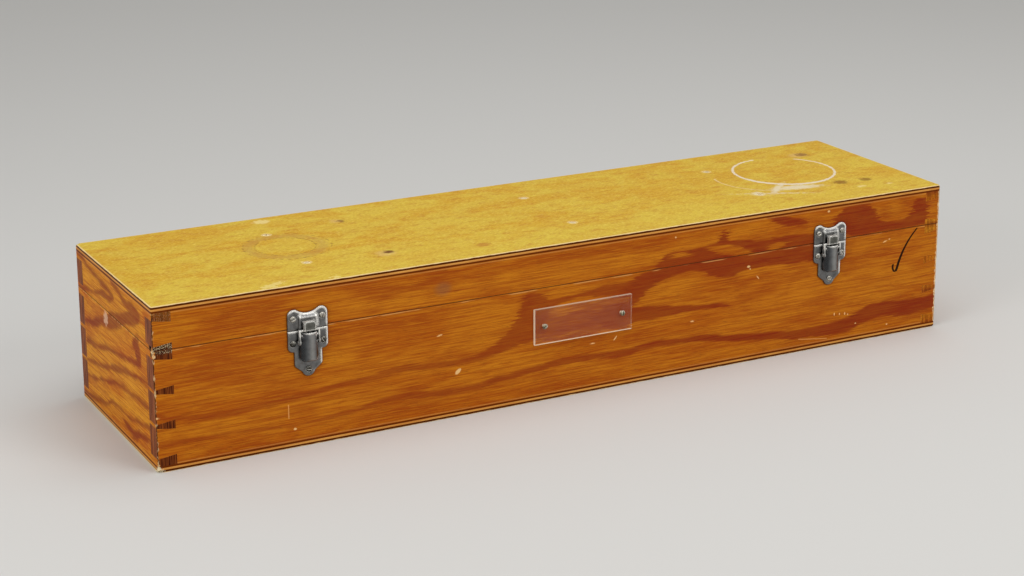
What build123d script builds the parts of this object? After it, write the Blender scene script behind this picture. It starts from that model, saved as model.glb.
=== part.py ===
from build123d import *
import math
import os

# A long wooden transport case: a dovetailed box of solid boards between two plywood panels, sawn
# apart into base and lid, with two butt hinges behind and two draw latches in front.
# Millimetres. +X runs along the case, +Y to its back, +Z up. The origin is the centre of the underside.

# Box
case_length = 914.4
case_depth = 235.0
case_height = 165.1
board = 19.0
ply = 6.35
parting_height = 121.4
saw_gap = 0.3
corner_radius = 1.5
panel_arris = 0.8
saw_arris = 0.3
joint_gap = 0.05

# Dovetails: the pins are on the end boards, the tails on the front and back boards
pin_root = 8.8
pin_tip = 3.5
edge_pin_root = 10.2
edge_pin_tip = 7.4
parting_pin_root = 16.7
parting_pin_tip = 11.7
parting_pin_drop = 1.8
full_pins = 2

# Cradles in the base and hold-down blocks under the lid carry one long round instrument
left_station_inset = 182.2
middle_station_offset = 25.0
right_station_inset = 197.2
block_thickness = 19.0
bore_radius = 52.0
bore_height = 82.0
felt = 3.0
felt_gap = 0.1
wall_gap = 0.25
cradle_top = 112.0
hold_down_width = 140.0
hold_down_bottom = 124.5
block_screw_spread = 109.0
block_screw_recess = 0.3
block_screw_head = 3.6
block_screw_cone = 2.4
block_screw_shank = 1.8
block_screw_length = 28.0
block_screw_turn = 25.0
block_screw_turn_step = 40.0

# Butt hinges, let into the edges of the two back boards
hinge_inset = 152.2
leaf_length = 63.5
leaf_width = 15.5
leaf_thickness = 1.6
mortise_gap = 0.1
knuckle_radius = 3.2
knuckle_gap = 0.3
knuckles = 5
hinge_pin_radius = 1.5
hinge_pin_head = 2.4
hinge_pin_head_height = 0.8
leaf_screw_pitch = 22.0
leaf_screw_inset = 8.0
leaf_screw_stagger = 3.0
leaf_screw_head = 2.9
leaf_screw_shank = 1.4
leaf_screw_length = 14.0
leaf_screw_turn = 15.0
leaf_screw_turn_step = 55.0

# Draw latches on the front face; a depth is measured outwards from that face
left_latch_inset = 155.2
right_latch_inset = 148.2
plate = 1.5
plate_round = 0.6
plate_half_width = 20.7
plate_seam_drop = 1.6
plate_seam_gap = 0.4
ear_radius = 6.2
ear_height = 20.8
ear_valley = 16.4
ear_valley_half_width = 12.0
ear_shoulder = 4.5
ramp_depth = 3.4
ramp_half_width = 9.6
ramp_height = 12.6
ramp_run = 3.2
ramp_edge = 0.8
ramp_corner = 4.5
lip_half_width = 5.6
lip_depth = 5.0
lip_height = 6.6
lip_thickness = 1.6
lip_slope = 0.8
flange_drop = 21.6
flange_corner = 5.0
tail_half_width = 14.3
tail_inner_corner = 1.2
tail_drop = 36.4
tail_corner = 4.0
nose_radius = 6.6
nose_drop = 47.8
nose_screw_drop = 40.4
nose_angle = 15.0
plate_screw_head = 3.1
plate_screw_head_height = 1.7
plate_screw_dome = 1.3
plate_screw_shank = 1.4
plate_screw_length = 14.0
plate_screw_hole = 1.7
plate_screw_turn_step = 50.0
base_screw_turn = 70.0
catch_screw_turn = 20.0
screw_slot_width = 0.8
screw_slot_depth = 0.7
ear_screw_x = 15.2
ear_screw_height = 11.8
flange_screw_x = 15.8
flange_screw_drop = 13.1
bore_gap = 0.05
running_gap = 0.06

# Lever: a half-round shell that turns on the fulcrum pin
lever_back = 1.7
lever_front = 9.2
lever_half_width = 8.8
lever_flare = 1.0
lever_flare_top_drop = 19.4
lever_flare_run = 4.0
lever_top_drop = 3.8
lever_length = 29.6
lever_wall = 1.3
lever_side = 3.0
lever_top_round = 1.0
lever_back_round = 2.8
lever_foot_round = 4.0
lever_heel_round = 0.8
lever_corner_round = 5.5
fulcrum_depth = 5.2
fulcrum_drop = 6.6
fulcrum_radius = 1.2
fulcrum_boss = 1.9
fulcrum_ear_inside = 1.6
fulcrum_ear = 1.2
fulcrum_ear_foot = 5.0
fulcrum_ear_shoulder = 1.7

# Claw: a forked hook that hangs on two rivets in the lever's sides and reaches up over the catch
claw_pivot_depth = 4.6
claw_pivot_drop = 13.4
claw_arm_inside = 9.15
claw_arm = 1.55
claw_eye = 2.6
claw_arm_back = 3.9
claw_arm_front = 6.0
claw_arm_root_back = 1.6
claw_arm_root_front = 2.1
claw_bridge_drop = 2.5
claw_bridge = 1.7
claw_head_half_width = 6.5
claw_head_back = 5.4
claw_head_front = 8.2
claw_head_drop = 2.3
claw_head_height = 10.4
claw_head_shoulder = 3.2
claw_head_foot = 0.8
claw_head_edge = 1.1
rivet_radius = 1.0
rivet_inside = 7.3
rivet_head = 1.9
rivet_head_gap = 0.25
rivet_head_height = 0.65

# Clear plate screwed to the front face, with nothing printed on it
card_length = 114.3
card_height = 38.1
card_thickness = 3.2
card_offset = 2.0
card_centre_height = 81.0
card_screw_x = 45.7
card_screw_head = 2.9
card_screw_turn = 35.0
card_edge = 0.4

# Places that follow from the sizes above
front = -case_depth / 2
back = case_depth / 2
left = -case_length / 2
right = case_length / 2
base_top = parting_height - saw_gap / 2
lid_bottom = parting_height + saw_gap / 2
lid_ceiling = case_height - ply
seam = parting_height - plate_seam_drop
fulcrum_height = parting_height - fulcrum_drop
hinge_axis_y = back + knuckle_radius + knuckle_gap
inside_half_depth = case_depth / 2 - board
inside_half_length = case_length / 2 - board
stations = (left + left_station_inset, middle_station_offset, right - right_station_inset)


def block(x0, x1, y0, y1, z0, z1):
    """A rectangular solid between two corners."""
    centre = Pos((x0 + x1) / 2, (y0 + y1) / 2, (z0 + z1) / 2)
    return centre * Box(x1 - x0, y1 - y0, z1 - z0)


def rod(x0, x1, radius, y, z):
    """A round bar along X."""
    bar = Rotation(0, 90, 0) * Cylinder(radius, x1 - x0)
    return Pos((x0 + x1) / 2, y, z) * bar


def front_plane():
    """The plane of the front face; sketches on it are (x, height), and it faces outwards."""
    return Plane.XZ.offset(case_depth / 2)


def face_of(*edges):
    """A flat face inside a closed loop of edges."""
    return make_face(Curve() + list(edges))


def rounded_face(*corners):
    """A flat face with straight sides, each corner given as (x, y, radius)."""
    face = make_face(Polyline(*[(x, y) for x, y, radius in corners], close=True))
    for x, y, radius in corners:
        if radius > 0:
            corner = face.vertices().sort_by_distance((x, y, 0))[0]
            face = fillet(corner, radius)
    return face


def across(points, x0, x1):
    """A solid with a straight-sided profile of (depth, height) points, extruded along X."""
    loop = [(front - depth, height) for depth, height in points]
    profile = Plane.YZ.offset(x0) * make_face(Polyline(*loop, close=True))
    return extrude(profile, amount=x1 - x0)


def bar(profile, x0, x1, z0, z1):
    """A straight bar along X, from a low and high depth and a low and high height."""
    low, high = profile
    return block(x0, x1, front - high, front - low, z0, z1)


def outline(z0, z1, low_arris=0.0, high_arris=0.0):
    """The case's outer prism, its upright corners rounded and an arris softened at either end."""
    profile = RectangleRounded(case_length, case_depth, corner_radius)
    prism = Pos(0, 0, z0) * extrude(profile, amount=z1 - z0)
    if low_arris > 0:
        prism = fillet(prism.faces().sort_by(Axis.Z)[0].edges(), low_arris)
    if high_arris > 0:
        prism = fillet(prism.faces().sort_by(Axis.Z)[-1].edges(), high_arris)
    return prism


def base_outline():
    """The outside of the base's walls, softened along the saw cut."""
    return outline(ply, base_top, high_arris=saw_arris)


def lid_outline():
    """The outside of the lid's walls, softened along the saw cut."""
    return outline(lid_bottom, lid_ceiling, low_arris=saw_arris)


# Dovetailed walls

def base_pins():
    """Height spans of the base's pins: low and high at the root, then low and high at the tip."""
    low = ply
    centre = parting_height - parting_pin_drop
    first = low + edge_pin_root
    last = centre - parting_pin_root / 2
    tail = (last - first - full_pins * pin_root) / (full_pins + 1)
    pins = [(low, low + edge_pin_root, low, low + edge_pin_tip)]
    for number in range(full_pins):
        middle = first + tail * (number + 1) + pin_root * (number + 0.5)
        root = (middle - pin_root / 2, middle + pin_root / 2)
        tip = (middle - pin_tip / 2, middle + pin_tip / 2)
        pins.append(root + tip)
    pins.append((last, base_top, centre - parting_pin_tip / 2, base_top))
    return pins


def lid_pins():
    """Height spans of the lid's pins, in the same order."""
    high = lid_ceiling
    centre = parting_height - parting_pin_drop
    cut = (lid_bottom, centre + parting_pin_root / 2, lid_bottom, centre + parting_pin_tip / 2)
    edge = (high - edge_pin_root, high, high - edge_pin_tip, high)
    return [cut, edge]


def pin_solid(span, side, face, grow=0.0):
    """One dovetail pin; side is +1 at the right end, face is +1 at the back."""
    root_low, root_high, tip_low, tip_high = span
    points = [
        (right - board - grow, root_low - grow),
        (right + grow, tip_low - grow),
        (right + grow, tip_high + grow),
        (right - board - grow, root_high + grow),
    ]
    profile = Plane.XZ * make_face(Polyline(*points, close=True))
    length = board + joint_gap
    pin = Pos(0, front + length, 0) * extrude(profile, amount=length)
    if face > 0:
        pin = mirror(pin, about=Plane.XZ)
    if side < 0:
        pin = mirror(pin, about=Plane.YZ)
    return pin


def tail_board(face, outside, pins):
    """Front (face -1) or back (face +1) board of a box, with the sockets for the pins cut out."""
    z0 = outside.bounding_box().min.Z
    z1 = outside.bounding_box().max.Z
    inner = face * inside_half_depth
    outer = face * back
    wall = block(-right, right, min(inner, outer), max(inner, outer), z0, z1)
    for side in (-1, 1):
        for span in pins:
            wall -= pin_solid(span, side, face, grow=joint_gap)
    return wall & outside


def end_board(side, outside, pins):
    """Left (side -1) or right (side +1) end board of a box, with its pins."""
    z0 = outside.bounding_box().min.Z
    z1 = outside.bounding_box().max.Z
    inner = side * inside_half_length
    outer = side * right
    half = inside_half_depth - joint_gap
    wall = block(min(inner, outer), max(inner, outer), -half, half, z0, z1)
    for face in (-1, 1):
        for span in pins:
            wall += pin_solid(span, side, face)
    return wall & outside


# Fasteners

def flat_screw(head, cone, shank, length):
    """A countersunk screw pointing down, with the top of its head at the origin."""
    taper = Pos(0, 0, -cone / 2) * Cone(shank, head, cone)
    stem = Pos(0, 0, -length / 2) * Cylinder(shank, length)
    return taper + stem


def screw_slot(head, depth):
    """The driver slot across a head whose top is at the origin."""
    return Pos(0, 0, -depth / 2) * Box(2 * head + 1, screw_slot_width, depth)


def slotted_flat_screw(head, cone, shank, length, turn):
    screw = flat_screw(head, cone, shank, length)
    return screw - Rotation(0, 0, turn) * screw_slot(head, screw_slot_depth)


def round_screw(head, turn):
    """A round-head screw that points inwards, head underside at the origin, for the front face."""
    top = extrude(Circle(head), amount=plate_screw_head_height)
    top = fillet(top.edges().group_by(Axis.Z)[-1], plate_screw_dome)
    slot = Pos(0, 0, plate_screw_head_height) * screw_slot(head, screw_slot_depth)
    top -= Rotation(0, 0, turn) * slot
    stem = Pos(0, 0, -plate_screw_length / 2) * Cylinder(plate_screw_shank, plate_screw_length)
    return Rotation(90, 0, 0) * (top + stem)


def front_hole(x, z, radius, depth=plate_screw_length):
    """A round hole from outside the front face to a depth behind it."""
    reach = depth + card_thickness + 1
    hole = Rotation(90, 0, 0) * Cylinder(radius, 2 * reach)
    return Pos(x, front, z) * hole


def upright_hole(x, y, z, radius, length):
    """A round hole centred on a point, along Z."""
    return Pos(x, y, z) * Cylinder(radius, 2 * length)


def latch_places():
    """Centre of each latch along the case, left then right."""
    return (left + left_latch_inset, right - right_latch_inset)


def hinge_places():
    return (left + hinge_inset, right - hinge_inset)


def catch_screw_points(x):
    height = seam + ear_screw_height
    return [(x - ear_screw_x, height), (x + ear_screw_x, height)]


def base_plate_screw_points(x):
    """The three screws of a latch's lower plate: two in its flanges and one in its nose."""
    height = seam - flange_screw_drop
    nose = (x, seam - nose_screw_drop)
    return [(x - flange_screw_x, height), (x + flange_screw_x, height), nose]


def card_screw_points():
    height = card_centre_height
    return [(card_offset - card_screw_x, height), (card_offset + card_screw_x, height)]


def block_screw_points():
    """Where each station's two screws go, as (x, y)."""
    half = block_screw_spread / 2
    return [(x, side * half) for x in stations for side in (-1, 1)]


def leaf_screw_points(x):
    """The three screws of a hinge leaf, in a shallow zigzag, as (x, y)."""
    points = []
    for number in (-1, 0, 1):
        shift = leaf_screw_stagger if number == 0 else 0.0
        points.append((x + number * leaf_screw_pitch, back - leaf_screw_inset - shift / 2))
    return points


def drill_front(wall, points):
    """Pilot holes in a front board for screws through a plate."""
    for x, z in points:
        wall -= front_hole(x, z, plate_screw_shank + bore_gap)
    return wall


def cut_mortises(wall, z, direction):
    """Recesses and pilot holes for the hinge leaves; direction is -1 below the saw cut."""
    depth = leaf_thickness + mortise_gap
    floor = z + direction * depth
    half = leaf_length / 2 + mortise_gap
    for x in hinge_places():
        inner = back - leaf_width - mortise_gap
        wall -= block(x - half, x + half, inner, back + 1, min(z, floor), max(z, floor))
        for sx, sy in leaf_screw_points(x):
            wall -= upright_hole(sx, sy, z, leaf_screw_shank + bore_gap, leaf_screw_length)
    return wall


def drill_block_screws(solid, z):
    """Holes for the screws of the blocks, through whatever lies around height z."""
    for x, y in block_screw_points():
        length = block_screw_length + block_screw_recess + bore_gap
        solid -= upright_hole(x, y, z, block_screw_shank + bore_gap, length)
    return solid


def countersink(solid, z, direction):
    """Seats for the heads of the blocks' screws; direction is +1 when the heads face up."""
    top = block_screw_recess
    for x, y in block_screw_points():
        turn = Rotation(0 if direction > 0 else 180, 0, 0)
        mouth_radius = block_screw_head + bore_gap
        cone = flat_screw(mouth_radius, block_screw_cone, block_screw_shank, block_screw_cone)
        mouth = Pos(0, 0, top / 2) * Cylinder(mouth_radius, top)
        solid -= Pos(x, y, z - direction * top) * turn * (cone + mouth)
    return solid


# Supports inside

def cradle(x):
    """A block across the base with a round-bottomed notch."""
    half = inside_half_depth - wall_gap
    body = block(x - block_thickness / 2, x + block_thickness / 2, -half, half, ply, cradle_top)
    notch = rod(x - block_thickness, x + block_thickness, bore_radius, 0, bore_height)
    top = bore_height + case_height
    throat = block(x - block_thickness, x + block_thickness, -bore_radius, bore_radius, bore_height, top)
    return drill_block_screws(body - notch - throat, 0)


def cradle_felt(x):
    """The felt strip that lines a cradle's notch."""
    half = block_thickness / 2
    outer_radius = bore_radius - felt_gap
    inner_radius = bore_radius - felt
    outer = rod(x - half, x + half, outer_radius, 0, bore_height)
    outer += block(x - half, x + half, -outer_radius, outer_radius, bore_height, case_height)
    inner = rod(x - half - 1, x + half + 1, inner_radius, 0, bore_height)
    inner += block(x - half - 1, x + half + 1, -inner_radius, inner_radius, bore_height, case_height)
    below = block(x - half, x + half, -case_depth, case_depth, 0, cradle_top)
    return (outer - inner) & below


def hold_down(x):
    """A block under the lid, arched over the instrument."""
    half = hold_down_width / 2
    thick = block_thickness / 2
    body = block(x - thick, x + thick, -half, half, hold_down_bottom, lid_ceiling)
    body -= rod(x - block_thickness, x + block_thickness, bore_radius, 0, bore_height)
    return drill_block_screws(body, case_height)


def hold_down_felt(x):
    """The felt strip under a hold-down block's arch."""
    half = block_thickness / 2
    ring = rod(x - half, x + half, bore_radius - felt_gap, 0, bore_height)
    ring -= rod(x - half - 1, x + half + 1, bore_radius - felt, 0, bore_height)
    above = block(x - half, x + half, -bore_radius, bore_radius, hold_down_bottom, case_height)
    return ring & above


def block_screws(z, direction):
    """The six screws through a plywood panel into the blocks behind it."""
    screws = []
    for number, (x, y) in enumerate(block_screw_points()):
        turn = block_screw_turn + block_screw_turn_step * number
        screw = slotted_flat_screw(
            block_screw_head, block_screw_cone, block_screw_shank, block_screw_length, turn
        )
        flip = Rotation(0 if direction > 0 else 180, 0, 0)
        screws.append(Pos(x, y, z - direction * block_screw_recess) * flip * screw)
    return Compound(children=screws)


# Hinges

def knuckle_spans(x):
    """The stretch along X of each knuckle of a hinge, left to right."""
    pitch = leaf_length / knuckles
    start = x - leaf_length / 2
    half_gap = knuckle_gap / 2
    return [
        (start + pitch * number + half_gap, start + pitch * (number + 1) - half_gap)
        for number in range(knuckles)
    ]


def hinge_leaf(x, direction):
    """Lower (direction -1, odd knuckles) or upper (direction +1, even knuckles) leaf."""
    surface = base_top if direction < 0 else lid_bottom
    far = surface + direction * leaf_thickness
    z0 = min(surface, far)
    z1 = max(surface, far)
    half = leaf_length / 2
    leaf = block(x - half, x + half, back - leaf_width, back, z0, z1)
    first = 0 if direction < 0 else 1
    for x0, x1 in knuckle_spans(x)[first::2]:
        leaf += block(x0, x1, back - 1, hinge_axis_y, z0, z1)
        leaf += rod(x0, x1, knuckle_radius, hinge_axis_y, parting_height)
    leaf -= rod(x - half - 1, x + half + 1, hinge_pin_radius + bore_gap, hinge_axis_y, parting_height)
    for sx, sy in leaf_screw_points(x):
        seat = flat_screw(leaf_screw_head, leaf_thickness, leaf_screw_shank, leaf_screw_length)
        seat += Cylinder(leaf_screw_shank + bore_gap, 2 * leaf_screw_length)
        flip = Rotation(0 if direction < 0 else 180, 0, 0)
        leaf -= Pos(sx, sy, surface) * flip * seat
    return leaf


def leaf_screws(x, direction):
    surface = base_top if direction < 0 else lid_bottom
    flip = Rotation(0 if direction < 0 else 180, 0, 0)
    screws = []
    for number, (sx, sy) in enumerate(leaf_screw_points(x)):
        screw = slotted_flat_screw(
            leaf_screw_head - bore_gap,
            leaf_thickness,
            leaf_screw_shank,
            leaf_screw_length,
            leaf_screw_turn + leaf_screw_turn_step * number,
        )
        screws.append(Pos(sx, sy, surface) * flip * screw)
    return Compound(children=screws)


def hinge_pin(x):
    """The pin of a hinge, with a low head at each end."""
    half = leaf_length / 2
    pin = rod(x - half, x + half, hinge_pin_radius, hinge_axis_y, parting_height)
    end = half + hinge_pin_head_height
    pin += rod(x - end, x - half, hinge_pin_head, hinge_axis_y, parting_height)
    pin += rod(x + half, x + end, hinge_pin_head, hinge_axis_y, parting_height)
    return pin


# Latches

def pressed_plate(shape):
    """A latch plate of the given outline, with its outer edge rounded as a press leaves it."""
    solid = extrude(front_plane() * shape, amount=plate)
    return fillet(solid.faces().sort_by(Axis.Y)[0].edges(), plate_round)


def catch_plate_shape():
    """Outline of the lid's plate: two rounded screw ears with a shallow valley between them."""
    side = plate_half_width
    top = seam + ear_height
    drop = ear_height - ear_valley
    valley_radius = (ear_valley_half_width**2 + drop**2) / (2 * drop)
    shape = rounded_face(
        (-side, seam, 0),
        (side, seam, 0),
        (side, top, ear_radius),
        (-side, top, ear_radius),
    )
    shape -= Pos(0, seam + ear_valley + valley_radius) * Circle(valley_radius)
    for x in (-ear_valley_half_width, ear_valley_half_width):
        shoulder = shape.vertices().sort_by_distance((x, top, 0))[0]
        shape = fillet(shoulder, ear_shoulder)
    return shape


def catch_plate(x):
    """The lid's plate: its outline, a raised middle and the lip that the claw reaches for."""
    solid = pressed_plate(catch_plate_shape())
    top = seam + ramp_height
    ramp = across(
        [
            (0, seam),
            (ramp_depth, seam),
            (ramp_depth, top),
            (plate, top + ramp_run),
            (0, top + ramp_run),
        ],
        -ramp_half_width,
        ramp_half_width,
    )
    ramp = fillet(ramp.edges().filter_by(Axis.Z).group_by(Axis.Y)[0], ramp_edge)
    ramp_outline = rounded_face(
        (-ramp_half_width, seam, 0),
        (ramp_half_width, seam, 0),
        (ramp_half_width, top + ramp_run, ramp_corner),
        (-ramp_half_width, top + ramp_run, ramp_corner),
    )
    ramp &= extrude(front_plane() * ramp_outline, amount=ramp_depth)
    lip_z = seam + lip_height
    lip = across(
        [
            (plate, lip_z - lip_slope),
            (lip_depth, lip_z),
            (lip_depth, lip_z + lip_thickness),
            (plate, lip_z + lip_thickness + lip_slope),
        ],
        -lip_half_width,
        lip_half_width,
    )
    solid = Pos(x, 0, 0) * (solid + ramp + lip)
    for sx, sz in catch_screw_points(x):
        solid -= front_hole(sx, sz, plate_screw_hole)
    return solid


def lower_plate_shape():
    """Outline of the lower plate: wide flanges, a narrower tail and a rounded nose."""
    top = seam - plate_seam_gap
    step = seam - flange_drop
    shoulder = seam - tail_drop
    nose_z = seam - nose_drop + nose_radius
    turn = math.radians(nose_angle)
    nose_x = nose_radius * math.cos(turn)
    neck = nose_z - nose_radius * math.sin(turn)
    wide = plate_half_width
    narrow = tail_half_width
    shape = rounded_face(
        (-wide, top, 0),
        (wide, top, 0),
        (wide, step, flange_corner),
        (narrow, step, tail_inner_corner),
        (narrow, shoulder, tail_corner),
        (nose_x, neck, 0),
        (-nose_x, neck, 0),
        (-narrow, shoulder, tail_corner),
        (-narrow, step, tail_inner_corner),
        (-wide, step, flange_corner),
    )
    return shape + Pos(0, nose_z) * Circle(nose_radius)


def latch_base_plate(x):
    """The base's plate, with the two inner ears that carry the fulcrum pin."""
    solid = pressed_plate(lower_plate_shape())
    profile = [
        (0, fulcrum_height - fulcrum_ear_foot),
        (plate, fulcrum_height - fulcrum_ear_foot),
        (fulcrum_depth, fulcrum_height - fulcrum_boss),
        (fulcrum_depth, fulcrum_height + fulcrum_boss),
        (0, fulcrum_height + fulcrum_ear_shoulder),
    ]
    for x0 in (-fulcrum_ear_inside - fulcrum_ear, fulcrum_ear_inside):
        x1 = x0 + fulcrum_ear
        solid += across(profile, x0, x1)
        solid += rod(x0, x1, fulcrum_boss, front - fulcrum_depth, fulcrum_height)
    hole = fulcrum_radius + bore_gap
    reach = fulcrum_ear_inside + fulcrum_ear + 1
    solid -= rod(-reach, reach, hole, front - fulcrum_depth, fulcrum_height)
    solid = Pos(x, 0, 0) * solid
    for sx, sz in base_plate_screw_points(x):
        solid -= front_hole(sx, sz, plate_screw_hole)
    return solid


def lever_form(inset, rise):
    """The lever's outer form, or with an inset its hollow, which rise opens above and behind."""
    top = parting_height - lever_top_drop + rise
    foot = parting_height - lever_top_drop - lever_length + inset
    wide = lever_half_width + lever_flare - inset
    narrow = lever_half_width - inset
    outer = lever_front - inset
    inner = lever_back - rise
    flare_top = parting_height - lever_flare_top_drop
    flare_low = flare_top - lever_flare_run
    side = front - lever_side
    section = face_of(
        Line((-wide, side), (-wide, front - inner)),
        Line((-wide, front - inner), (wide, front - inner)),
        Line((wide, front - inner), (wide, side)),
        ThreePointArc((wide, side), (0, front - outer), (-wide, side)),
    )
    front_view = rounded_face(
        (-narrow, top, 0),
        (narrow, top, 0),
        (narrow, flare_top, 0),
        (wide, flare_low, 0),
        (wide, foot, lever_corner_round - inset),
        (-wide, foot, lever_corner_round - inset),
        (-wide, flare_low, 0),
        (-narrow, flare_top, 0),
    )
    closed = rise == 0
    side_view = rounded_face(
        (front - outer, top, lever_top_round if closed else 0),
        (front - outer, foot, lever_foot_round - inset),
        (front - inner, foot, lever_heel_round if closed else 0),
        (front - inner, top, lever_back_round if closed else 0),
    )
    body = Pos(0, 0, foot) * extrude(section, amount=top - foot)
    body &= extrude(front_plane() * front_view, amount=outer + 1)
    body &= extrude(Plane.YZ.offset(-wide - 1) * side_view, amount=2 * wide + 2)
    return body


def latch_lever(x):
    """The half-round lever: a shell, open behind and above, with bores for its two pivots."""
    shell = lever_form(0.0, 0.0) - lever_form(lever_wall, 1.0)
    reach = lever_half_width + lever_flare + 1
    shell -= rod(-reach, reach, fulcrum_radius + running_gap, front - fulcrum_depth, fulcrum_height)
    pivot_z = parting_height - claw_pivot_drop
    shell -= rod(-reach, reach, rivet_radius + bore_gap, front - claw_pivot_depth, pivot_z)
    return Pos(x, 0, 0) * shell


def fulcrum_pin(x):
    """The pin through the plate's ears that the lever turns on."""
    reach = lever_half_width - joint_gap
    return rod(x - reach, x + reach, fulcrum_radius, front - fulcrum_depth, fulcrum_height)


def latch_claw(x):
    """The forked hook: two arms with eyes, a bridge above the lever and a broad rounded head."""
    pivot_z = parting_height - claw_pivot_drop
    bridge_z = parting_height - claw_bridge_drop
    bridge_top = bridge_z + claw_bridge
    arm_outside = claw_arm_inside + claw_arm
    arm_profile = [
        (claw_pivot_depth - claw_arm_root_back, pivot_z),
        (claw_pivot_depth + claw_arm_root_front, pivot_z),
        (claw_arm_front, bridge_top),
        (claw_arm_back, bridge_top),
    ]
    arm_depths = (claw_arm_back, claw_arm_front)
    claw = bar(arm_depths, -arm_outside, arm_outside, bridge_z, bridge_top)
    for x0 in (-arm_outside, claw_arm_inside):
        x1 = x0 + claw_arm
        arm = across(arm_profile, x0, x1)
        arm += rod(x0, x1, claw_eye, front - claw_pivot_depth, pivot_z)
        hole = rivet_radius + running_gap
        arm -= rod(x0 - 1, x1 + 1, hole, front - claw_pivot_depth, pivot_z)
        claw += arm
    head_z = parting_height - claw_head_drop
    half = claw_head_half_width
    head_outline = rounded_face(
        (-half, head_z, claw_head_foot),
        (half, head_z, claw_head_foot),
        (half, head_z + claw_head_height, claw_head_shoulder),
        (-half, head_z + claw_head_height, claw_head_shoulder),
    )
    head = extrude(front_plane() * head_outline, amount=claw_head_front)
    head = fillet(head.faces().sort_by(Axis.Y)[0].edges(), claw_head_edge)
    head -= bar((-1, claw_head_back), -half - 1, half + 1, head_z - 1, case_height)
    return Pos(x, 0, 0) * (claw + head)


def claw_rivets(x):
    """The two rivets in the lever's sides that the claw's arms hang on."""
    y = front - claw_pivot_depth
    z = parting_height - claw_pivot_drop
    face = claw_arm_inside + claw_arm + rivet_head_gap
    rivets = []
    for side in (-1, 1):
        stem = rod(rivet_inside, face + rivet_head_height / 2, rivet_radius, y, z)
        head = rod(face, face + rivet_head_height, rivet_head, y, z)
        rivet = stem + head
        if side < 0:
            rivet = mirror(rivet, about=Plane.YZ)
        rivets.append(Pos(x, 0, 0) * rivet)
    return Compound(children=rivets)


def plate_screws(points, depth, head, first_turn):
    """Round-head screws on the front face, their heads seated at a depth."""
    screws = []
    for number, (x, z) in enumerate(points):
        turn = first_turn + plate_screw_turn_step * number
        screws.append(Pos(x, front - depth, z) * round_screw(head, turn))
    return Compound(children=screws)


# Clear plate

def name_card():
    """The blank clear plate."""
    shape = Pos(card_offset, card_centre_height) * Rectangle(card_length, card_height)
    card = extrude(front_plane() * shape, amount=card_thickness)
    card = chamfer(card.faces().sort_by(Axis.Y)[0].edges(), card_edge)
    for x, z in card_screw_points():
        card -= front_hole(x, z, plate_screw_hole)
    return card


# The pieces, node by node

def wall_pieces():
    """The eight dovetailed boards and two panels, drilled for what is fixed to them."""
    low_pins = base_pins()
    high_pins = lid_pins()
    base = base_outline()
    lid = lid_outline()
    base_front = tail_board(-1, base, low_pins)
    base_front = drill_front(base_front, card_screw_points())
    lid_front = tail_board(-1, lid, high_pins)
    for x in latch_places():
        base_front = drill_front(base_front, base_plate_screw_points(x))
        lid_front = drill_front(lid_front, catch_screw_points(x))
    base_back = cut_mortises(tail_board(1, base, low_pins), base_top, -1)
    lid_back = cut_mortises(tail_board(1, lid, high_pins), lid_bottom, 1)
    bottom = drill_block_screws(outline(0, ply, low_arris=panel_arris), 0)
    top = drill_block_screws(outline(lid_ceiling, case_height, high_arris=panel_arris), case_height)
    return {
        "base_front_board": base_front,
        "base_back_board": base_back,
        "base_left_end": end_board(-1, base, low_pins),
        "base_right_end": end_board(1, base, low_pins),
        "bottom_panel": countersink(bottom, 0, -1),
        "lid_front_board": lid_front,
        "lid_back_board": lid_back,
        "lid_left_end": end_board(-1, lid, high_pins),
        "lid_right_end": end_board(1, lid, high_pins),
        "lid_top_panel": countersink(top, case_height, 1),
    }


def support_pieces():
    """Cradles, hold-down blocks, their felts and their screws."""
    pieces = {}
    for name, x in zip(("left", "middle", "right"), stations):
        pieces[f"{name}_cradle"] = cradle(x)
        pieces[f"{name}_cradle_felt"] = cradle_felt(x)
        pieces[f"{name}_hold_down"] = hold_down(x)
        pieces[f"{name}_hold_down_felt"] = hold_down_felt(x)
    pieces["cradle_screws"] = block_screws(0, -1)
    pieces["lid_screws"] = block_screws(case_height, 1)
    return pieces


def hinge_pieces():
    pieces = {}
    for name, x in zip(("left", "right"), hinge_places()):
        pieces[f"{name}_hinge_lower_leaf"] = hinge_leaf(x, -1)
        pieces[f"{name}_hinge_upper_leaf"] = hinge_leaf(x, 1)
        pieces[f"{name}_hinge_pin"] = hinge_pin(x)
        pieces[f"{name}_hinge_lower_screws"] = leaf_screws(x, -1)
        pieces[f"{name}_hinge_upper_screws"] = leaf_screws(x, 1)
    return pieces


def latch_pieces():
    pieces = {}
    for name, x in zip(("left", "right"), latch_places()):
        pieces[f"{name}_latch_base_plate"] = latch_base_plate(x)
        pieces[f"{name}_latch_base_screws"] = plate_screws(
            base_plate_screw_points(x), plate, plate_screw_head, base_screw_turn
        )
        pieces[f"{name}_latch_lever"] = latch_lever(x)
        pieces[f"{name}_latch_fulcrum_pin"] = fulcrum_pin(x)
        pieces[f"{name}_latch_claw"] = latch_claw(x)
        pieces[f"{name}_latch_claw_rivets"] = claw_rivets(x)
        pieces[f"{name}_catch_plate"] = catch_plate(x)
        pieces[f"{name}_catch_screws"] = plate_screws(
            catch_screw_points(x), plate, plate_screw_head, catch_screw_turn
        )
    return pieces


def card_pieces():
    screws = plate_screws(card_screw_points(), card_thickness, card_screw_head, card_screw_turn)
    return {"name_plate": name_card(), "name_plate_screws": screws}


os.makedirs("parts", exist_ok=True)
pieces = {}
for group in (wall_pieces, support_pieces, hinge_pieces, latch_pieces, card_pieces):
    pieces.update(group())
for name, solid in pieces.items():
    export_step(solid, f"parts/{name}.step")
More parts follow.
